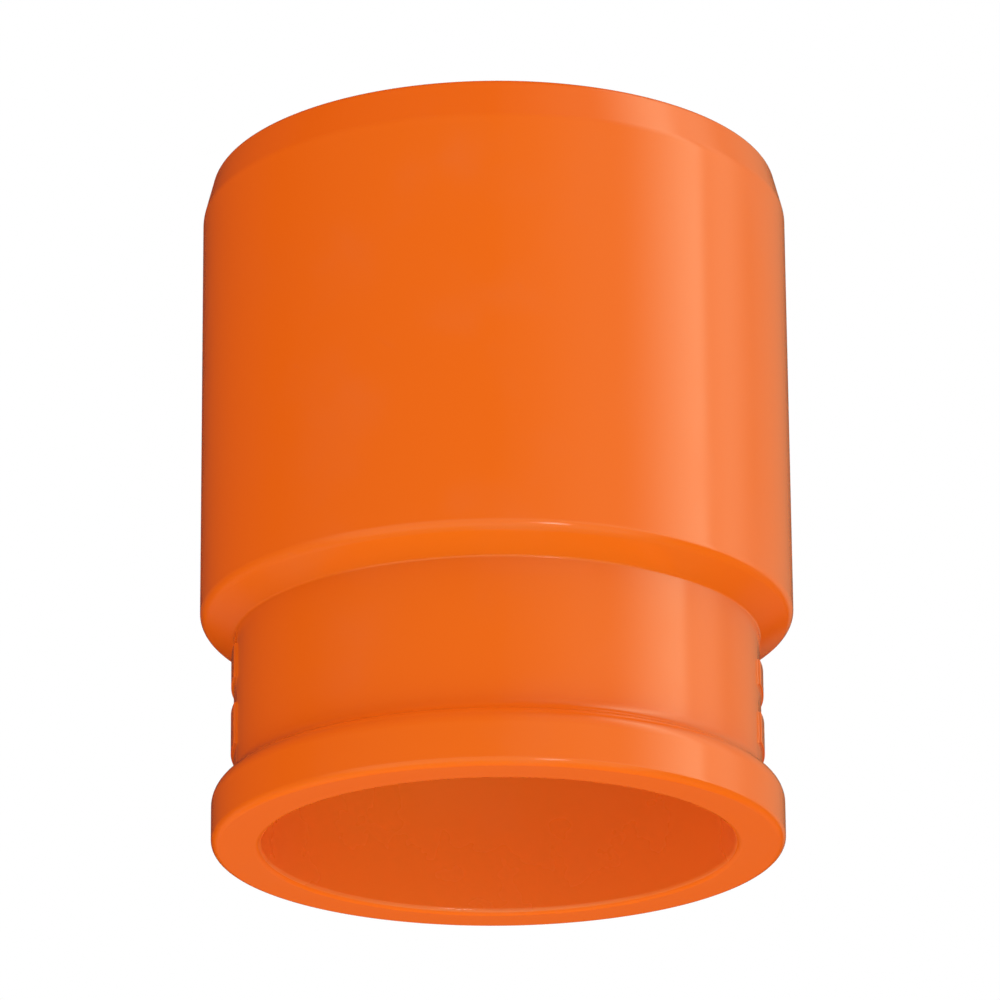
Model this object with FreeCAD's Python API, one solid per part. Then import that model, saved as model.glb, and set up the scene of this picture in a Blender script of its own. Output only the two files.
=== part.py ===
# Socket-to-groove pipe adapter: one injection moulding, modelled as the single solid that it is.
#
# The adapter is a body of revolution about +Z. Its origin is the centre of the lip's flat end
# face, and +Z runs through the grooved end and the neck to the mouth of the pipe socket.
# All sizes are in millimetres.

import FreeCAD, Part
import math
import os

# Outside, from the lip's end face (z = 0) upwards.
LIP_R = 36.5  # outside of a 2-1/2 inch nominal pipe end
LIP_WIDTH = 7.0
LIP_FACE_ROUND = 1.0
LIP_BACK_ROUND = 2.6
LIP_BACK_SLOPE = 1.3
NECK_R = 33.7
NECK_ROOT_ROUND = 2.2
NECK_TOP_Z = 27.8
NECK_TOP_ROUND = 0.4
HUB_R = 38.1  # 3 inches across
SHOULDER_RISE = 2.4
SHOULDER_EDGE_ROUND = 1.7
LENGTH = 90.4
HUB_TAPER_LENGTH = 5.4
HUB_TAPER_DROP = 1.4
HUB_TAPER_ROUND = 3.6
HUB_END_ROUND = 1.0

# Waterway, from the lip's end face upwards.
WATER_MOUTH_R = 30.1
WATER_MOUTH_ROUND = 0.9
WATER_DRAFT = 0.2  # how much the groove-end bore narrows towards the pipe stop
STOP_R = 27.0
STOP_HEIGHT = 5.4
STOP_LEAD = 4.0  # axial length of the lead from the groove-end bore up to the stop
STOP_LEAD_ROUND = 1.5
STOP_EDGE_ROUND = 0.5

# Solvent-cement socket for 2 inch nominal pipe, 60.33 mm outside.
SOCKET_DEPTH = 38.1
SOCKET_R = 30.2  # mean of a moulded socket's taper, 60.63 mm at the mouth to 60.17 mm at the floor
SOCKET_ENTRY = 1.0
SOCKET_ENTRY_ROUND = 0.4

# Raised blank pads on the neck, where moulded lettering would be: two rows on each side.
PAD_RELIEF = 0.35
PAD_HALF_ANGLE = 20.0
PAD_SETBACK = 9.0  # how far each pad's middle is turned towards +Y from the X axis
PAD_CORNER = 0.12
PAD_SPANS = {
    "low_x": ((12.3, 17.8), (21.2, 25.7)),
    "high_x": ((11.8, 16.0), (19.6, 23.0)),
}
PAD_SIDE_ANGLE = {"low_x": 180.0 - PAD_SETBACK, "high_x": PAD_SETBACK}

SOCKET_FLOOR_Z = LENGTH - SOCKET_DEPTH
AXIS = FreeCAD.Vector(0, 0, 1)
CENTRE = FreeCAD.Vector(0, 0, 0)


def meridian(radius, z):
    """Return the point at a radius and height in the half plane that is turned about the axis."""
    return FreeCAD.Vector(radius, 0, z)


def rounded_corner(before, corner, after, radius):
    """Return the arc that rounds a corner of the section, tangent to the lines on both sides."""
    towards_before = (before - corner).normalize()
    towards_after = (after - corner).normalize()
    half_angle = towards_before.getAngle(towards_after) / 2
    run = radius / math.tan(half_angle)
    middle_way = (towards_before + towards_after).normalize()
    middle = corner + middle_way * (radius / math.sin(half_angle) - radius)
    return Part.Arc(corner + towards_before * run, middle, corner + towards_after * run)


def section_face(corners):
    """Return the closed face through the corners, each given as radius, height and rounding."""
    points = [meridian(radius, z) for radius, z, _ in corners]
    edges = []
    corner_ends = []
    for index, (_, _, rounding) in enumerate(corners):
        corner = points[index]
        if rounding == 0:
            corner_ends.append((corner, corner))
            continue
        arc = rounded_corner(points[index - 1], corner, points[(index + 1) % len(points)], rounding)
        corner_ends.append((arc.StartPoint, arc.EndPoint))
        edges.append(arc.toShape())
    for index, (_, leave) in enumerate(corner_ends):
        arrive = corner_ends[(index + 1) % len(corner_ends)][0]
        edges.append(Part.makeLine(leave, arrive))
    return Part.Face(Part.Wire(Part.__sortEdges__(edges)))


def outside_corners():
    """Return the outside of the section: lip, neck, shoulder, hub and its tapered end."""
    return [
        (LIP_R, 0, LIP_FACE_ROUND),
        (LIP_R, LIP_WIDTH, LIP_BACK_ROUND),
        (NECK_R, LIP_WIDTH + LIP_BACK_SLOPE, NECK_ROOT_ROUND),
        (NECK_R, NECK_TOP_Z, NECK_TOP_ROUND),
        (HUB_R, NECK_TOP_Z + SHOULDER_RISE, SHOULDER_EDGE_ROUND),
        (HUB_R, LENGTH - HUB_TAPER_LENGTH, HUB_TAPER_ROUND),
        (HUB_R - HUB_TAPER_DROP, LENGTH, HUB_END_ROUND),
    ]


def waterway_corners():
    """Return the inside of the section, downwards: socket, pipe stop and groove-end bore."""
    stop_foot_z = SOCKET_FLOOR_Z - STOP_HEIGHT
    return [
        (SOCKET_R + SOCKET_ENTRY, LENGTH, SOCKET_ENTRY_ROUND),
        (SOCKET_R, LENGTH - SOCKET_ENTRY, SOCKET_ENTRY_ROUND),
        (SOCKET_R, SOCKET_FLOOR_Z, STOP_EDGE_ROUND),
        (STOP_R, SOCKET_FLOOR_Z, STOP_EDGE_ROUND),
        (STOP_R, stop_foot_z, STOP_LEAD_ROUND),
        (WATER_MOUTH_R - WATER_DRAFT, stop_foot_z - STOP_LEAD, STOP_LEAD_ROUND),
        (WATER_MOUTH_R, 0, WATER_MOUTH_ROUND),
    ]


def moulded_shell():
    """Return the plain body of revolution, without its pads."""
    return section_face(outside_corners() + waterway_corners()).revolve(CENTRE, AXIS, 360)


def neck_pad(middle_angle, span):
    """Return one raised blank pad: a short curved band round the neck, sunk a little into it."""
    low_z, high_z = span
    inner_r = NECK_R - PAD_RELIEF
    outer_r = NECK_R + PAD_RELIEF
    corners = [
        (inner_r, low_z, 0),
        (outer_r, low_z, PAD_CORNER),
        (outer_r, high_z, PAD_CORNER),
        (inner_r, high_z, 0),
    ]
    band = section_face(corners).revolve(CENTRE, AXIS, 2 * PAD_HALF_ANGLE)
    band.rotate(CENTRE, AXIS, middle_angle - PAD_HALF_ANGLE)
    return band


def adapter_body():
    """Return the whole moulding: the revolved shell with its four raised pads."""
    pads = []
    for side, spans in PAD_SPANS.items():
        for span in spans:
            pads.append(neck_pad(PAD_SIDE_ANGLE[side], span))
    return moulded_shell().fuse(pads).removeSplitter()


def main():
    """Write each sub-part's STEP file under its node's name."""
    os.makedirs("parts", exist_ok=True)
    nodes = {"adapter_body": adapter_body()}
    for name, shape in nodes.items():
        solid_count = len(shape.Solids)
        print(name, "valid", shape.isValid(), "solids", solid_count, "mm3", round(shape.Volume, 1))
        shape.exportStep(os.path.join("parts", name + ".step"))


main()
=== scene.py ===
"""Looks of a moulded plastic pipe adapter: a socket hub, a grooved neck and an end lip, in one piece.

The adapter stands on its lip with the waterway along +Z. All sizes are in metres, in the frame of
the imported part. One finely turned mesh replaces the plain solid, and carries the gloss, the faint
orange peel and the handling marks of an injection moulding.
"""

import logging
import math
from dataclasses import dataclass, field
from enum import Enum
from typing import Iterable, Sequence

import bpy
from mathutils import Matrix, Vector


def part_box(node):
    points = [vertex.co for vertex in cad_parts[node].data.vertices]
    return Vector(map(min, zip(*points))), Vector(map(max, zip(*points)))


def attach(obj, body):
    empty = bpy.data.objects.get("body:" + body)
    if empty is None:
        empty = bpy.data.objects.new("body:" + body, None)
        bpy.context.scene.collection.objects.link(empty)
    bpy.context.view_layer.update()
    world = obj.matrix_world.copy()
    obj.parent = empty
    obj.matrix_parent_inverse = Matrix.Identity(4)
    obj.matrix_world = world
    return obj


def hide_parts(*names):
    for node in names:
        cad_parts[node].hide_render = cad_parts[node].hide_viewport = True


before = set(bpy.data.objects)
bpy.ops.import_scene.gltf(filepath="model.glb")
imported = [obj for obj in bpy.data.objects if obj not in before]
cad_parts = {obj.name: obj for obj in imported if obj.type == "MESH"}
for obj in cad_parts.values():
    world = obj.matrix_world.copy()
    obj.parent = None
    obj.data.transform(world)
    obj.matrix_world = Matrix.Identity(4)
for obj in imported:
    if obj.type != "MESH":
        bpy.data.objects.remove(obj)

LOG = logging.getLogger("adapter")
MM = 0.001
NODE = "adapter_body"

Socket = bpy.types.NodeSocket
Colour = tuple[float, float, float, float]
Tint = tuple[float, float, float]
Value = "Socket | float | int | Vector | tuple"


class Region(Enum):
    """Parts of the moulding's skin, each with its own roughness and bump from the mould; the waterway's
    paler copy of the orange is painted light for the shaded bore.
    """

    OUTSIDE = "outside"
    WATERWAY = "waterway"


class Rays(Enum):
    """Which light a studio panel gives: the even wash, or what shows in the gloss."""

    WASH = "wash"
    GLOSS = "gloss"


class NodeDesk:
    """Builds a node tree from short calls, and links whatever is handed in as a socket."""

    def __init__(self, tree: bpy.types.NodeTree) -> None:
        """Start on a tree.

        Args:
            tree: The shader or geometry tree to build in.
        """
        self.tree = tree

    def feed(self, socket: Socket, value: Value) -> None:
        """Give an input its value, or link it to an output.

        Args:
            socket: The input to fill.
            value: A plain value or another node's output.
        """
        if isinstance(value, bpy.types.NodeSocket):
            self.tree.links.new(value, socket)
        else:
            socket.default_value = value

    def node(self, kind: str, inputs: dict | None = None, **settings: object) -> bpy.types.Node:
        """Add a node.

        Args:
            kind: The node's type name.
            inputs: Values or sockets by input name or index.
            **settings: Properties set before the inputs are filled.

        Returns:
            The new node.
        """
        made = self.tree.nodes.new(kind)
        for name, value in settings.items():
            setattr(made, name, value)
        for name, value in (inputs or {}).items():
            self.feed(made.inputs[name], value)
        return made

    def maths(self, operation: str, *values: Value, clamp: bool = False) -> Socket:
        """Add a Math node and return its output.

        Args:
            operation: The Math node's operation.
            *values: Its inputs, in order.
            clamp: Whether the result is kept from 0 to 1.

        Returns:
            The result's socket.
        """
        made = self.node("ShaderNodeMath", dict(enumerate(values)), operation=operation)
        made.use_clamp = clamp
        return made.outputs[0]

    def vector_maths(self, operation: str, *values: Value) -> bpy.types.Node:
        """Add a Vector Math node and return it."""
        return self.node("ShaderNodeVectorMath", dict(enumerate(values)), operation=operation)

    def ramp(self, value: Socket, low: Value, high: Value, smooth: bool = True) -> Socket:
        """Map a value from low..high to 0..1, with soft ends if asked.

        Args:
            value: The value to map.
            low: Where the result is 0.
            high: Where the result is 1.
            smooth: Whether the ends ease in and out.

        Returns:
            The mapped value's socket.
        """
        kind = "SMOOTHSTEP" if smooth else "LINEAR"
        inputs = {"Value": value, "From Min": low, "From Max": high}
        made = self.node("ShaderNodeMapRange", inputs, interpolation_type=kind)
        return made.outputs["Result"]

    def noise(self, vector: Socket, scale: Value, detail: float, roughness: float) -> Socket:
        """Add a noise texture and return its value, from 0 to 1 about a half."""
        inputs = {"Vector": vector, "Scale": scale, "Detail": detail, "Roughness": roughness}
        return self.node("ShaderNodeTexNoise", inputs).outputs["Fac"]

    def separate(self, vector: Socket) -> tuple[Socket, Socket, Socket]:
        """Split a vector into its three parts."""
        outputs = self.node("ShaderNodeSeparateXYZ", {"Vector": vector}).outputs
        return outputs[0], outputs[1], outputs[2]


@dataclass(frozen=True)
class GroupSocket:
    """One named input or output of a node group."""

    name: str
    kind: str
    default: object = None


class ShaderGroup:
    """A shader node group that is built once and placed in any material that needs its effect."""

    title = "group"
    inputs: Sequence[GroupSocket] = ()
    outputs: Sequence[GroupSocket] = ()

    def __init__(self) -> None:
        """Build the group's tree with its sockets."""
        self.tree = bpy.data.node_groups.new(self.title, "ShaderNodeTree")
        for direction, sockets in (("INPUT", self.inputs), ("OUTPUT", self.outputs)):
            for item in sockets:
                made = self.tree.interface.new_socket(item.name, in_out=direction, socket_type=item.kind)
                if item.default is not None:
                    made.default_value = item.default
        self.desk = NodeDesk(self.tree)
        self.given = self.desk.node("NodeGroupInput").outputs
        self.result = self.desk.node("NodeGroupOutput").inputs
        self.build()

    def build(self) -> None:
        """Fill the tree. Each effect has its own."""
        raise NotImplementedError

    def place(self, desk: NodeDesk, **values: Value) -> bpy.types.NodeOutputs:
        """Put the group in a material's tree.

        Args:
            desk: The material's node desk.
            **values: Inputs by name, with underscores for spaces.

        Returns:
            The placed group's outputs.
        """
        made = desk.node("ShaderNodeGroup", node_tree=self.tree)
        for name, value in values.items():
            desk.feed(made.inputs[name.replace("_", " ")], value)
        return made.outputs


class MouldedSkin(ShaderGroup):
    """Orange peel and fine grain that a polished steel mould leaves on plastic."""

    title = "moulded_skin"
    inputs = (
        GroupSocket("Vector", "NodeSocketVector"),
        GroupSocket("Peel Scale", "NodeSocketFloat", 420.0),
        GroupSocket("Grain Scale", "NodeSocketFloat", 5200.0),
        GroupSocket("Grain Share", "NodeSocketFloat", 0.25),
    )
    outputs = (GroupSocket("Height", "NodeSocketFloat"),)

    def build(self) -> None:
        """Mix a slow ripple, the orange peel and the grain into one height."""
        desk = self.desk
        place = self.given["Vector"]
        peel = desk.noise(place, self.given["Peel Scale"], 2.0, 0.45)
        ripple_scale = desk.maths("MULTIPLY", self.given["Peel Scale"], 0.16)
        ripple = desk.noise(place, ripple_scale, 1.0, 0.4)
        grain = desk.noise(place, self.given["Grain Scale"], 3.0, 0.6)
        soft = desk.maths("MULTIPLY_ADD", ripple, 1.6, peel)
        height = desk.maths("MULTIPLY_ADD", grain, self.given["Grain Share"], soft)
        desk.feed(self.result["Height"], height)


class PigmentDrift(ShaderGroup):
    """Slow drift of the pigment where the melt flowed away from the gate."""

    title = "pigment_drift"
    inputs = (
        GroupSocket("Vector", "NodeSocketVector"),
        GroupSocket("Colour", "NodeSocketColor", (0.8, 0.2, 0.02, 1.0)),
        GroupSocket("Deep", "NodeSocketColor", (0.7, 0.1, 0.01, 1.0)),
        GroupSocket("Amount", "NodeSocketFloat", 0.1),
    )
    outputs = (GroupSocket("Colour", "NodeSocketColor"),)

    def build(self) -> None:
        """Blend towards the deep tone along streaks that are long in the direction of flow."""
        desk = self.desk
        stretch = desk.vector_maths("MULTIPLY", self.given["Vector"], (60.0, 60.0, 9.0))
        streaks = desk.noise(stretch.outputs[0], 1.0, 3.0, 0.5)
        cloud = desk.noise(self.given["Vector"], 38.0, 2.0, 0.5)
        blend = desk.maths("MULTIPLY", desk.maths("ADD", streaks, cloud), self.given["Amount"])
        mixed = desk.node("ShaderNodeMix", {"Factor": blend}, data_type="RGBA")
        desk.feed(mixed.inputs[6], self.given["Colour"])
        desk.feed(mixed.inputs[7], self.given["Deep"])
        desk.feed(self.result["Colour"], mixed.outputs[2])


class HandlingMarks(ShaderGroup):
    """Faint smears and hairline rubs that a fitting picks up in its box."""

    title = "handling_marks"
    inputs = (
        GroupSocket("Vector", "NodeSocketVector"),
        GroupSocket("Smear Scale", "NodeSocketFloat", 55.0),
        GroupSocket("Rub Scale", "NodeSocketFloat", 900.0),
    )
    outputs = (
        GroupSocket("Smears", "NodeSocketFloat"),
        GroupSocket("Rubs", "NodeSocketFloat"),
    )

    def build(self) -> None:
        """Give a soft mask for smears and a sparse thin one for rubs."""
        desk = self.desk
        place = self.given["Vector"]
        cloud = desk.noise(place, self.given["Smear Scale"], 4.0, 0.55)
        desk.feed(self.result["Smears"], desk.ramp(cloud, 0.44, 0.72))
        slant = desk.node("ShaderNodeMapping", {"Vector": place, "Rotation": (0.5, 0.9, 0.3)})
        thin = desk.vector_maths("MULTIPLY", slant.outputs[0], (1.0, 1.0, 0.03)).outputs[0]
        hairs = desk.noise(thin, self.given["Rub Scale"], 1.0, 0.5)
        lines = desk.ramp(hairs, 0.71, 0.78)
        patches = desk.ramp(desk.noise(place, 70.0, 2.0, 0.5), 0.55, 0.7)
        desk.feed(self.result["Rubs"], desk.maths("MULTIPLY", lines, patches))


@dataclass(frozen=True)
class EffectKit:
    """The shared shader groups, each built once."""

    skin: MouldedSkin = field(default_factory=MouldedSkin)
    pigment: PigmentDrift = field(default_factory=PigmentDrift)
    marks: HandlingMarks = field(default_factory=HandlingMarks)


@dataclass(frozen=True)
class MouldedPlastic:
    """The finish of glossy orange chlorinated vinyl, straight from the mould."""

    name: str
    colour: Colour
    deep: Colour
    gloss_roughness: float
    smear_roughness: float
    peel_depth: float
    tool_rings: float = 0.0
    rub_roughness: float = 0.12

    def material(self, effects: EffectKit) -> bpy.types.Material:
        """Build the material.

        Args:
            effects: The shared shader groups.

        Returns:
            The finished material.
        """
        made = bpy.data.materials.new(self.name)
        made.use_nodes = True
        made.diffuse_color = self.colour
        made.node_tree.nodes.clear()
        desk = NodeDesk(made.node_tree)
        place = desk.node("ShaderNodeTexCoord").outputs["Object"]
        pigment = effects.pigment.place(desk, Vector=place, Colour=self.colour, Deep=self.deep)
        marks = effects.marks.place(desk, Vector=place)
        shader = desk.node("ShaderNodeBsdfPrincipled")
        shader.inputs["IOR"].default_value = 1.5
        desk.feed(shader.inputs["Base Color"], pigment["Colour"])
        desk.feed(shader.inputs["Roughness"], self.roughness(desk, marks))
        desk.feed(shader.inputs["Normal"], self.surface(desk, effects, place, marks["Rubs"]))
        desk.node("ShaderNodeOutputMaterial", {"Surface": shader.outputs[0]})
        return made

    def roughness(self, desk: NodeDesk, marks: bpy.types.NodeOutputs) -> Socket:
        """Raise the polished roughness where the surface is smeared or rubbed.

        Args:
            desk: The material's node desk.
            marks: The handling marks' outputs.

        Returns:
            The roughness socket.
        """
        span = self.smear_roughness - self.gloss_roughness
        smeared = desk.maths("MULTIPLY_ADD", marks["Smears"], span, self.gloss_roughness)
        return desk.maths("MULTIPLY_ADD", marks["Rubs"], self.rub_roughness, smeared, clamp=True)

    def surface(self, desk: NodeDesk, effects: EffectKit, place: Socket, rubs: Socket) -> Socket:
        """Bump the surface with the mould's texture, and with turning rings on a core pin's side.

        Args:
            desk: The material's node desk.
            effects: The shared shader groups.
            place: Object coordinates.
            rubs: The mask of hairline rubs.

        Returns:
            The normal socket.
        """
        height = effects.skin.place(desk, Vector=place)["Height"]
        height = desk.maths("MULTIPLY_ADD", rubs, -0.25, height)
        if self.tool_rings:
            axial = desk.separate(place)[2]
            pitch = desk.maths("MULTIPLY", axial, 2 * math.pi / (0.35 * MM))
            rings = desk.maths("SINE", pitch)
            height = desk.maths("MULTIPLY_ADD", rings, self.tool_rings, height)
        inputs = {"Strength": 1.0, "Distance": self.peel_depth, "Height": height}
        return desk.node("ShaderNodeBump", inputs).outputs["Normal"]


@dataclass(frozen=True)
class Corner:
    """One corner of the section that is turned about the axis."""

    radius: float
    height: float
    rounding: float = 0.0
    steps: int = 0


@dataclass(frozen=True)
class Pad:
    """A raised blank pad on the neck."""

    middle: float
    low: float
    high: float


@dataclass
class Adapter:
    """The one-piece adapter: lip, neck, shoulder and hub outside, waterway and socket inside."""

    hub_radius: float
    length: float
    lip_radius: float = 36.5 * MM
    lip_width: float = 7.0 * MM
    lip_back_slope: float = 1.3 * MM
    neck_radius: float = 33.7 * MM
    neck_top: float = 27.8 * MM
    shoulder_rise: float = 2.4 * MM
    taper_length: float = 5.4 * MM
    taper_drop: float = 1.4 * MM
    water_radius: float = 30.1 * MM
    water_draft: float = 0.2 * MM
    stop_radius: float = 27.0 * MM
    stop_height: float = 5.4 * MM
    stop_lead: float = 4.0 * MM
    socket_depth: float = 38.1 * MM
    socket_radius: float = 30.2 * MM
    socket_entry: float = 1.0 * MM
    pad_relief: float = 0.35 * MM
    pad_edge: float = 0.16 * MM
    pad_half_angle: float = math.radians(20.0)
    pad_setback: float = math.radians(9.0)
    columns: int = 360

    def pads(self) -> list[Pad]:
        """List the pads: two rows on the low X side and two on the high X side."""
        low_side = math.pi - self.pad_setback
        return [
            Pad(low_side, 12.3 * MM, 17.8 * MM),
            Pad(low_side, 21.2 * MM, 25.7 * MM),
            Pad(self.pad_setback, 11.8 * MM, 16.0 * MM),
            Pad(self.pad_setback, 19.6 * MM, 23.0 * MM),
        ]

    def outside(self) -> list[Corner]:
        """List the section's outer corners, upwards from the lip's end face."""
        root = self.lip_width + self.lip_back_slope
        return [
            Corner(self.lip_radius, 0.0, 1.0 * MM, 9),
            Corner(self.lip_radius, self.lip_width, 2.6 * MM, 12),
            Corner(self.neck_radius, root, 2.2 * MM, 11),
            *self.neck_rows(),
            Corner(self.neck_radius, self.neck_top, 0.4 * MM, 6),
            Corner(self.hub_radius, self.neck_top + self.shoulder_rise, 1.7 * MM, 11),
            Corner(self.hub_radius, self.length - self.taper_length, 3.6 * MM, 8),
            Corner(self.hub_radius - self.taper_drop, self.length, 1.0 * MM, 9),
        ]

    def neck_rows(self) -> list[Corner]:
        """List the plain points on the neck that let the pads' edges rise cleanly."""
        heights = set()
        for pad in self.pads():
            for share in (0.0, 0.25, 0.55, 1.0):
                heights.add(round(pad.low + share * self.pad_edge, 7))
                heights.add(round(pad.high - share * self.pad_edge, 7))
        return [Corner(self.neck_radius, height) for height in sorted(heights)]

    def inside(self) -> list[Corner]:
        """List the section's inner corners, downwards from the socket's mouth."""
        floor = self.length - self.socket_depth
        foot = floor - self.stop_height
        entry_radius = self.socket_radius + self.socket_entry
        return [
            Corner(entry_radius, self.length, 0.4 * MM, 4),
            Corner(self.socket_radius, self.length - self.socket_entry, 0.4 * MM, 4),
            Corner(self.socket_radius, floor, 0.5 * MM, 5),
            Corner(self.stop_radius, floor, 0.5 * MM, 5),
            Corner(self.stop_radius, foot, 1.5 * MM, 5),
            Corner(self.water_radius - self.water_draft, foot - self.stop_lead, 1.5 * MM, 5),
            Corner(self.water_radius, 0.0, 0.9 * MM, 9),
        ]

    def angles(self) -> list[float]:
        """List the columns' angles: even all round, and closer where a pad ends."""
        found = {round(2 * math.pi * turn / self.columns, 6) for turn in range(self.columns)}
        edge = self.pad_edge / self.neck_radius
        for pad in self.pads():
            for side in (-1, 1):
                for share in (0.0, 0.25, 0.55, 1.0):
                    angle = pad.middle + side * (self.pad_half_angle - share * edge)
                    found.add(round(angle % (2 * math.pi), 6))
        return sorted(found)

    def section_mesh(self) -> bpy.types.Mesh:
        """Make the closed outline of the section, in the half plane of positive X.

        Returns:
            A mesh of edges whose points carry their rounding and its steps.
        """
        corners = self.outside() + self.inside()
        points = [(corner.radius, 0.0, corner.height) for corner in corners]
        edges = [(index, (index + 1) % len(points)) for index in range(len(points))]
        mesh = bpy.data.meshes.new("section")
        mesh.from_pydata(points, edges, [])
        rounding = mesh.attributes.new("rounding", "FLOAT", "POINT")
        rounding.data.foreach_set("value", [corner.rounding for corner in corners])
        steps = mesh.attributes.new("steps", "INT", "POINT")
        steps.data.foreach_set("value", [corner.steps for corner in corners])
        return mesh

    def ring_object(self) -> bpy.types.Object:
        """Make the ring of points whose directions are the columns of the turned body."""
        points = [(math.cos(angle), math.sin(angle), 0.0) for angle in self.angles()]
        mesh = bpy.data.meshes.new("ring")
        mesh.from_pydata(points, [], [])
        return bpy.data.objects.new("ring", mesh)

    def build(self, materials: dict[Region, bpy.types.Material]) -> bpy.types.Object:
        """Turn the section about the axis, raise the pads and keep the result as a plain mesh.

        Args:
            materials: The finished material of each region of the skin.

        Returns:
            The adapter as one object at the origin.
        """
        source = bpy.data.objects.new("adapter_section", self.section_mesh())
        ring = self.ring_object()
        for piece in (source, ring):
            bpy.context.scene.collection.objects.link(piece)
        tree = TurnedBodyTree(self, materials)
        modifier = source.modifiers.new("turn", "NODES")
        modifier.node_group = tree.tree
        for identifier, value in tree.values(ring).items():
            modifier[identifier] = value
        weighted = source.modifiers.new("flats", "WEIGHTED_NORMAL")
        weighted.mode = "FACE_AREA"
        weighted.weight = 100
        depsgraph = bpy.context.evaluated_depsgraph_get()
        mesh = bpy.data.meshes.new_from_object(source.evaluated_get(depsgraph), depsgraph=depsgraph)
        mesh.name = "adapter"
        body = bpy.data.objects.new("adapter", mesh)
        bpy.context.scene.collection.objects.link(body)
        for piece in (source, ring):
            bpy.data.objects.remove(piece)
        return body


class TurnedBodyTree:
    """Geometry Nodes tree that rounds a section, turns it about +Z and raises pads on it."""

    def __init__(self, adapter: Adapter, materials: dict[Region, bpy.types.Material]) -> None:
        """Build the tree.

        Args:
            adapter: The adapter whose sizes the tree takes.
            materials: The finished material of each region of the skin.
        """
        self.adapter = adapter
        self.materials = materials
        self.tree = bpy.data.node_groups.new("turned_body", "GeometryNodeTree")
        self.identifiers: dict[str, str] = {}
        self.declare("Geometry", "NodeSocketGeometry")
        self.declare("Ring", "NodeSocketObject")
        self.declare("Pad Relief", "NodeSocketFloat")
        self.declare("Pad Edge", "NodeSocketFloat")
        self.declare("Pad Half Angle", "NodeSocketFloat")
        self.declare("Waterway Radius", "NodeSocketFloat")
        self.tree.interface.new_socket("Geometry", in_out="OUTPUT", socket_type="NodeSocketGeometry")
        self.desk = NodeDesk(self.tree)
        self.given = self.desk.node("NodeGroupInput").outputs
        self.result = self.desk.node("NodeGroupOutput").inputs
        self.build()

    def declare(self, name: str, kind: str) -> None:
        """Add a named input and remember its identifier."""
        made = self.tree.interface.new_socket(name, in_out="INPUT", socket_type=kind)
        self.identifiers[name] = made.identifier

    def values(self, ring: bpy.types.Object) -> dict[str, object]:
        """Give the modifier's inputs by identifier.

        Args:
            ring: The object whose points are the columns' directions.

        Returns:
            Values keyed by the sockets' identifiers.
        """
        named = {
            "Ring": ring,
            "Pad Relief": self.adapter.pad_relief,
            "Pad Edge": self.adapter.pad_edge,
            "Pad Half Angle": self.adapter.pad_half_angle,
            "Waterway Radius": self.adapter.socket_radius + 0.1 * MM,
        }
        return {self.identifiers[name]: value for name, value in named.items()}

    def attribute(self, name: str, kind: str) -> Socket:
        """Read a named attribute."""
        made = self.desk.node("GeometryNodeInputNamedAttribute", {"Name": name}, data_type=kind)
        return made.outputs["Attribute"]

    def build(self) -> None:
        """Lay out the tree from the section to the finished skin."""
        desk = self.desk
        outline = self.rounded_outline()
        grid = self.wrapped_grid(outline)
        raised = self.raise_pads(grid)
        merged = desk.node("GeometryNodeMergeByDistance", {"Geometry": raised, "Distance": 1e-7})
        outward = desk.node("GeometryNodeFlipFaces", {"Mesh": merged.outputs[0]})
        smooth = desk.node("GeometryNodeSetShadeSmooth", {0: outward.outputs[0]})
        real = desk.node("GeometryNodeRealizeInstances", {0: smooth.outputs[0]})
        outside = desk.node("GeometryNodeSetMaterial", {"Geometry": real.outputs[0]})
        outside.inputs["Material"].default_value = self.materials[Region.OUTSIDE]
        inputs = {"Geometry": outside.outputs[0], "Selection": self.in_waterway()}
        waterway = desk.node("GeometryNodeSetMaterial", inputs)
        waterway.inputs["Material"].default_value = self.materials[Region.WATERWAY]
        desk.feed(self.result["Geometry"], waterway.outputs[0])

    def rounded_outline(self) -> Socket:
        """Round the section's corners by their own radii."""
        desk = self.desk
        curve = desk.node("GeometryNodeMeshToCurve", {"Mesh": self.given["Geometry"]})
        rounding = self.attribute("rounding", "FLOAT")
        steps = self.attribute("steps", "INT")
        inputs = {"Curve": curve.outputs[0], "Radius": rounding, "Count": steps}
        return desk.node("GeometryNodeFilletCurve", inputs, mode="POLY").outputs[0]

    def wrapped_grid(self, outline: Socket) -> Socket:
        """Wrap a grid round the axis, one row for each outline point, one column for each angle.

        Args:
            outline: The rounded outline.

        Returns:
            The turned body, still open along its two seams.
        """
        desk = self.desk
        ring = desk.node("GeometryNodeObjectInfo", {"Object": self.given["Ring"]}).outputs["Geometry"]
        rows = self.domain_points(outline, "CURVE")
        columns = self.domain_points(ring, "MESH")
        across = desk.maths("ADD", columns, 1)
        inputs = {"Vertices X": desk.maths("ADD", rows, 1), "Vertices Y": across}
        grid = desk.node("GeometryNodeMeshGrid", inputs).outputs["Mesh"]
        index = desk.node("GeometryNodeInputIndex").outputs[0]
        row = desk.maths("MODULO", desk.maths("FLOOR", desk.maths("DIVIDE", index, across)), rows)
        column = desk.maths("MODULO", desk.maths("MODULO", index, across), columns)
        section = self.sampled(outline, row)
        direction = self.sampled(ring, column)
        radius, _, height = desk.separate(section)
        spread = desk.vector_maths("SCALE", direction)
        desk.feed(spread.inputs["Scale"], radius)
        lift = desk.node("ShaderNodeCombineXYZ", {"Z": height}).outputs[0]
        place = desk.vector_maths("ADD", spread.outputs[0], lift).outputs[0]
        return desk.node("GeometryNodeSetPosition", {"Geometry": grid, "Position": place}).outputs[0]

    def domain_points(self, geometry: Socket, component: str) -> Socket:
        """Count a geometry's points."""
        made = self.desk.node("GeometryNodeAttributeDomainSize", {0: geometry}, component=component)
        return made.outputs["Point Count"]

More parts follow.
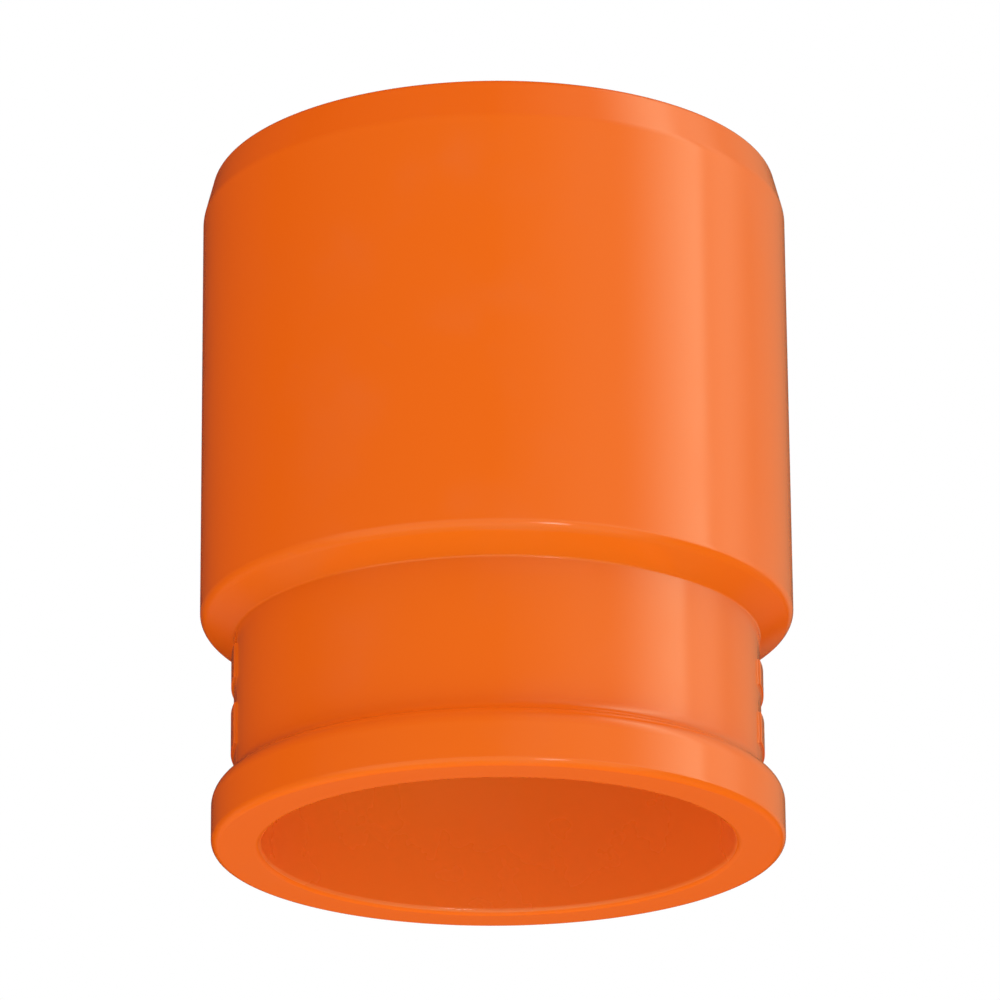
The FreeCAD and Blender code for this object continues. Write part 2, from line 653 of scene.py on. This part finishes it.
    def sampled(self, geometry: Socket, index: Socket) -> Socket:
        """Read a geometry's point position by index."""
        desk = self.desk
        position = desk.node("GeometryNodeInputPosition").outputs[0]
        made = desk.node("GeometryNodeSampleIndex", data_type="FLOAT_VECTOR", domain="POINT")
        desk.feed(made.inputs["Geometry"], geometry)
        desk.feed(made.inputs["Value"], position)
        desk.feed(made.inputs["Index"], index)
        return made.outputs["Value"]

    def raise_pads(self, geometry: Socket) -> Socket:
        """Push the neck outwards under each pad, with a quarter-round edge.

        Args:
            geometry: The turned body.

        Returns:
            The body with its pads.
        """
        desk = self.desk
        across, along, height = desk.separate(desk.node("GeometryNodeInputPosition").outputs[0])
        radius = desk.node("ShaderNodeCombineXYZ", {"X": across, "Y": along}).outputs[0]
        outwards = desk.vector_maths("NORMALIZE", radius).outputs[0]
        distance = desk.vector_maths("LENGTH", radius).outputs["Value"]
        covers = [self.pad_cover(pad, across, along, height) for pad in self.adapter.pads()]
        cover = covers[0]
        for other in covers[1:]:
            cover = desk.maths("MAXIMUM", cover, other)
        on_neck = desk.maths("COMPARE", distance, self.adapter.neck_radius, 0.01 * MM)
        inset = desk.maths("SUBTRACT", 1.0, cover)
        crown = desk.maths("SQRT", desk.maths("SUBTRACT", 1.0, desk.maths("MULTIPLY", inset, inset)))
        rise = desk.maths("MULTIPLY", desk.maths("MULTIPLY", crown, on_neck), self.given["Pad Relief"])
        offset = desk.vector_maths("SCALE", outwards)
        desk.feed(offset.inputs["Scale"], rise)
        inputs = {"Geometry": geometry, "Offset": offset.outputs[0]}
        return desk.node("GeometryNodeSetPosition", inputs).outputs[0]

    def pad_cover(self, pad: Pad, across: Socket, along: Socket, height: Socket) -> Socket:
        """Rise from 0 at a pad's border to 1 one edge width inside it.

        Args:
            pad: The pad.
            across: The point's X.
            along: The point's Y.
            height: The point's Z.

        Returns:
            How fully the pad covers the point.
        """
        desk = self.desk
        turned_x = desk.maths("MULTIPLY", across, math.cos(pad.middle))
        turned_x = desk.maths("MULTIPLY_ADD", along, math.sin(pad.middle), turned_x)
        turned_y = desk.maths("MULTIPLY", across, -math.sin(pad.middle))
        turned_y = desk.maths("MULTIPLY_ADD", along, math.cos(pad.middle), turned_y)
        away = desk.maths("ABSOLUTE", desk.maths("ARCTAN2", turned_y, turned_x))
        arc_left = desk.maths("SUBTRACT", self.given["Pad Half Angle"], away)
        arc_left = desk.maths("MULTIPLY", arc_left, self.adapter.neck_radius)
        from_middle = desk.maths("ABSOLUTE", desk.maths("SUBTRACT", height, (pad.low + pad.high) / 2))
        rise_left = desk.maths("SUBTRACT", (pad.high - pad.low) / 2, from_middle)
        left = desk.maths("MINIMUM", arc_left, rise_left)
        return desk.maths("DIVIDE", left, self.given["Pad Edge"], clamp=True)

    def in_waterway(self) -> Socket:
        """Select the faces of the waterway and the socket."""
        desk = self.desk
        across, along, _ = desk.separate(desk.node("GeometryNodeInputPosition").outputs[0])
        radius = desk.node("ShaderNodeCombineXYZ", {"X": across, "Y": along}).outputs[0]
        distance = desk.vector_maths("LENGTH", radius).outputs["Value"]
        return desk.maths("LESS_THAN", distance, self.given["Waterway Radius"])


@dataclass(frozen=True)
class Band:
    """A soft-edged range of angles in degrees: it rises from start to full, holds, and is gone at end."""

    start: float
    full: float
    fading: float
    end: float

    def shape(self, desk: NodeDesk, angle: Socket) -> Socket:
        """Give the band's shape over an angle.

        Args:
            desk: The node desk to build on.
            angle: The angle, in radians.

        Returns:
            A mask from 0 outside the band to 1 where it is full.
        """
        middle = (self.start + self.end) / 2
        turn = desk.maths("WRAP", desk.maths("SUBTRACT", angle, math.radians(middle)), math.pi, -math.pi)
        rise = desk.ramp(turn, math.radians(self.start - middle), math.radians(self.full - middle))
        fall = desk.ramp(turn, math.radians(self.end - middle), math.radians(self.fading - middle))
        return desk.maths("MULTIPLY", rise, fall)


NEUTRAL = (1.0, 1.0, 1.0)
WARM = (1.15, 1.4, 1.0)
ALL_HEIGHTS = Band(-100.0, -95.0, 95.0, 100.0)
ALL_ROUND = Band(-190.0, -185.0, 185.0, 190.0)
ABOVE = Band(-15.0, 0.0, 91.0, 95.0)
BELOW = Band(-95.0, -91.0, -15.0, 0.0)


@dataclass(frozen=True)
class StudioPanel:
    """A soft panel of the studio, placed by its direction from the adapter.

    Azimuth 0 is towards the viewer's side, -Y, and 90 is towards +X.
    """

    rays: Rays
    level: float
    azimuth: Band
    elevation: Band = ALL_HEIGHTS
    tint: Tint = NEUTRAL

    def shape(self, desk: NodeDesk, azimuth: Socket, elevation: Socket) -> Socket:
        """Give the panel's soft-edged shape over the sky."""
        wide = self.azimuth.shape(desk, azimuth)
        tall = self.elevation.shape(desk, elevation)
        return desk.maths("MULTIPLY", wide, tall)

    def add(self, desk: NodeDesk, shown: Socket, light: Value) -> Socket:
        """Add the panel's own colour of light, where it shows, to the light so far."""
        colour = [self.level * part for part in self.tint]
        return desk.vector_maths("MULTIPLY_ADD", shown, colour, light).outputs[0]


@dataclass
class Studio:
    """The studio: a tinted wash with tinted panels, panels for the gloss, and a pale floor."""

    wash: Tint = (0.36, 0.0, 0.15)
    gloss: Tint = (0.0, 0.0, 0.0)
    backdrop: Tint = (1.0, 1.0, 1.0)
    floor_colour: Colour = (0.86, 0.86, 0.85, 1.0)
    floor_half_width: float = 1.6
    floor_gap: float = 0.05 * MM
    panels: Sequence[StudioPanel] = (
        StudioPanel(Rays.GLOSS, 0.085, Band(0.0, 7.0, 150.0, 180.0), Band(-10.0, 3.0, 50.0, 75.0), WARM),
        StudioPanel(Rays.GLOSS, 0.32, Band(4.0, 44.0, 115.0, 185.0), Band(-10.0, 3.0, 50.0, 75.0), WARM),
        StudioPanel(Rays.GLOSS, 1.05, Band(46.0, 86.0, 86.5, 93.0), Band(-10.0, 3.0, 50.0, 75.0), WARM),
        StudioPanel(Rays.GLOSS, 0.68, Band(46.0, 86.0, 100.0, 122.0), Band(-10.0, 3.0, 50.0, 75.0), WARM),
        StudioPanel(Rays.GLOSS, 0.5, Band(-80.0, -50.0, 50.0, 80.0), Band(-60.0, -35.0, 2.0, 21.0), WARM),
        StudioPanel(Rays.GLOSS, 0.08, ALL_ROUND, Band(-95.0, -91.0, -52.0, -38.0), WARM),
        StudioPanel(Rays.GLOSS, 0.07, Band(130.0, 155.0, 230.0, 265.0), Band(-35.0, -27.0, -20.0, -8.0)),
        StudioPanel(Rays.GLOSS, 0.03, Band(-190.0, -160.0, -110.0, -90.0), Band(0.0, 10.0, 50.0, 75.0)),
        StudioPanel(Rays.GLOSS, 9.0, Band(15.0, 18.5, 25.5, 29.0), Band(-26.0, -22.0, -18.0, -14.0)),
        StudioPanel(Rays.WASH, 1.0, Band(-95.0, -60.0, 90.0, 130.0), ABOVE, (0.67, 1.1, 0.9)),
        StudioPanel(Rays.WASH, 2.5, Band(105.0, 130.0, 165.0, 190.0), ABOVE, (0.68, 1.26, 1.0)),
        StudioPanel(
            Rays.WASH,
            1.8,
            Band(-60.0, -35.0, 80.0, 120.0),
            Band(-95.0, -91.0, -40.0, -20.0),
            (0.66, 1.42, 1.0),
        ),
        StudioPanel(Rays.WASH, 0.7, Band(-110.0, -85.0, -60.0, -35.0), BELOW, (0.94, 1.06, 1.0)),
        StudioPanel(
            Rays.WASH,
            0.4,
            Band(-60.0, -35.0, 80.0, 120.0),
            Band(-40.0, -20.0, -15.0, 0.0),
            (1.8, 0.25, 1.0),
        ),
        StudioPanel(Rays.WASH, 0.45, Band(80.0, 120.0, 170.0, 190.0), BELOW, (1.75, 0.35, 1.0)),
        StudioPanel(Rays.WASH, 0.3, ALL_ROUND, Band(45.0, 65.0, 91.0, 95.0), (2.2, 0.1, 1.0)),
        StudioPanel(Rays.WASH, 1.25, Band(-200.0, -175.0, -110.0, -85.0), BELOW),
    )

    def build(self) -> None:
        """Light the scene and lay the floor."""
        self.dome()
        self.floor()

    def dome(self) -> None:
        """Make the world: white to look at, and panels for the wash and for the gloss."""
        world = bpy.data.worlds.new("studio")
        bpy.context.scene.world = world
        world.cycles.sampling_method = "NONE"
        world.use_nodes = True
        world.node_tree.nodes.clear()
        desk = NodeDesk(world.node_tree)
        path = desk.node("ShaderNodeLightPath").outputs
        direction = desk.node("ShaderNodeTexCoord").outputs["Generated"]
        x, y, z = desk.separate(direction)
        azimuth = desk.maths("ARCTAN2", x, desk.maths("MULTIPLY", y, -1.0))
        elevation = desk.maths("ARCSINE", z)
        light = {Rays.WASH: self.wash, Rays.GLOSS: self.gloss}
        for panel in self.panels:
            shown = panel.shape(desk, azimuth, elevation)
            light[panel.rays] = panel.add(desk, shown, light[panel.rays])
        wash = desk.node("ShaderNodeBackground", {"Color": light[Rays.WASH]}).outputs[0]
        gloss = desk.node("ShaderNodeBackground", {"Color": light[Rays.GLOSS]}).outputs[0]
        white = desk.node("ShaderNodeBackground", {"Color": (*self.backdrop, 1.0)}).outputs[0]
        lit = desk.node("ShaderNodeMixShader", {0: path["Is Glossy Ray"], 1: wash, 2: gloss}).outputs[0]
        seen = desk.node("ShaderNodeMixShader", {0: path["Is Camera Ray"], 1: lit, 2: white}).outputs[0]
        desk.node("ShaderNodeOutputWorld", {"Surface": seen})

    def floor(self) -> None:
        """Lay a pale floor under the adapter that is seen only from above."""
        reach = self.floor_half_width
        level = -self.floor_gap
        corners = [
            (-reach, -reach, level),
            (reach, -reach, level),
            (reach, reach, level),
            (-reach, reach, level),
        ]
        mesh = bpy.data.meshes.new("floor")
        mesh.from_pydata(corners, [], [(0, 1, 2, 3)])
        floor = bpy.data.objects.new("floor", mesh)
        bpy.context.scene.collection.objects.link(floor)
        mesh.materials.append(self.floor_material())
        floor.visible_diffuse = False
        floor.visible_glossy = False
        floor.visible_shadow = False

    def floor_material(self) -> bpy.types.Material:
        """Build the floor's matt paper, clear when looked at from below."""
        made = bpy.data.materials.new("pale_paper")
        made.use_nodes = True
        made.node_tree.nodes.clear()
        desk = NodeDesk(made.node_tree)
        place = desk.node("ShaderNodeTexCoord").outputs["Object"]
        fibre = desk.noise(place, 900.0, 3.0, 0.6)
        bump = desk.node("ShaderNodeBump", {"Strength": 0.2, "Distance": 0.05 * MM, "Height": fibre})
        paper = desk.node("ShaderNodeBsdfDiffuse", {"Color": self.floor_colour, "Normal": bump.outputs[0]})
        clear = desk.node("ShaderNodeBsdfTransparent")
        below = desk.node("ShaderNodeNewGeometry").outputs["Backfacing"]
        mixed = desk.node("ShaderNodeMixShader", {0: below, 1: paper.outputs[0], 2: clear.outputs[0]})
        desk.node("ShaderNodeOutputMaterial", {"Surface": mixed.outputs[0]})
        return made


@dataclass(frozen=True)
class Viewpoint:
    """A long lens that looks up at the adapter from below, past its grooved end."""

    climb: float = math.radians(19.587)
    roll: float = math.radians(-0.434)
    distance: float = 843.1 * MM
    focal_length: float = 234.67
    sensor_width: float = 36.0
    aim: tuple[float, float, float] = (0.53 * MM, 0.0, 47.01 * MM)

    def build(self) -> bpy.types.Object:
        """Make the camera and use it.

        Returns:
            The camera object.
        """
        forward = Vector((0.0, math.cos(self.climb), math.sin(self.climb)))
        up = Vector((0.0, -math.sin(self.climb), math.cos(self.climb)))
        right = Vector((1.0, 0.0, 0.0))
        tilted_right = right * math.cos(self.roll) + up * math.sin(self.roll)
        tilted_up = up * math.cos(self.roll) - right * math.sin(self.roll)
        data = bpy.data.cameras.new("camera")
        data.lens = self.focal_length
        data.sensor_width = self.sensor_width
        data.clip_start = 0.01
        camera = bpy.data.objects.new("camera", data)
        turn = Matrix((tilted_right, tilted_up, -forward)).transposed().to_4x4()
        camera.matrix_world = Matrix.Translation(Vector(self.aim) - forward * self.distance) @ turn
        bpy.context.scene.collection.objects.link(camera)
        bpy.context.scene.camera = camera
        return camera


def finishes() -> dict[Region, MouldedPlastic]:
    """Give each region of the skin its finish."""
    return {
        Region.OUTSIDE: MouldedPlastic(
            name="moulded_outside",
            colour=(0.795, 0.1345, 0.0062, 1.0),
            deep=(0.73, 0.113, 0.0048, 1.0),
            gloss_roughness=0.1,
            smear_roughness=0.2,
            peel_depth=0.004 * MM,
        ),
        Region.WATERWAY: MouldedPlastic(
            # Painted light: the waterway's colour and deep tone are a paler, less deep copy of the outside
            # orange, which lifts the shaded, bounce-lit bore. Its rougher gloss and turning rings are the
            # real finish.
            name="moulded_waterway_painted_paler",
            colour=(0.80, 0.165, 0.0165, 1.0),
            deep=(0.745, 0.142, 0.013, 1.0),
            gloss_roughness=0.24,
            smear_roughness=0.36,
            peel_depth=0.008 * MM,
            tool_rings=0.15,
        ),
    }


def main() -> None:
    """Build the adapter, its finish, the studio and the camera, and log the adapter's face count."""
    logging.basicConfig(level=logging.INFO, format="%(name)s: %(message)s")
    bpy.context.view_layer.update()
    low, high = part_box(NODE)
    Viewpoint().build()
    effects = EffectKit()
    materials = {region: finish.material(effects) for region, finish in finishes().items()}
    adapter = Adapter(hub_radius=(high.x - low.x) / 2, length=high.z)
    body = adapter.build(materials)
    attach(body, "root")
    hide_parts(NODE)
    LOG.info("%s: %d faces", body.name, len(body.data.polygons))
    Studio().build()
    bpy.context.scene.view_settings.view_transform = "Standard"


if __name__ == "__main__":
    main()
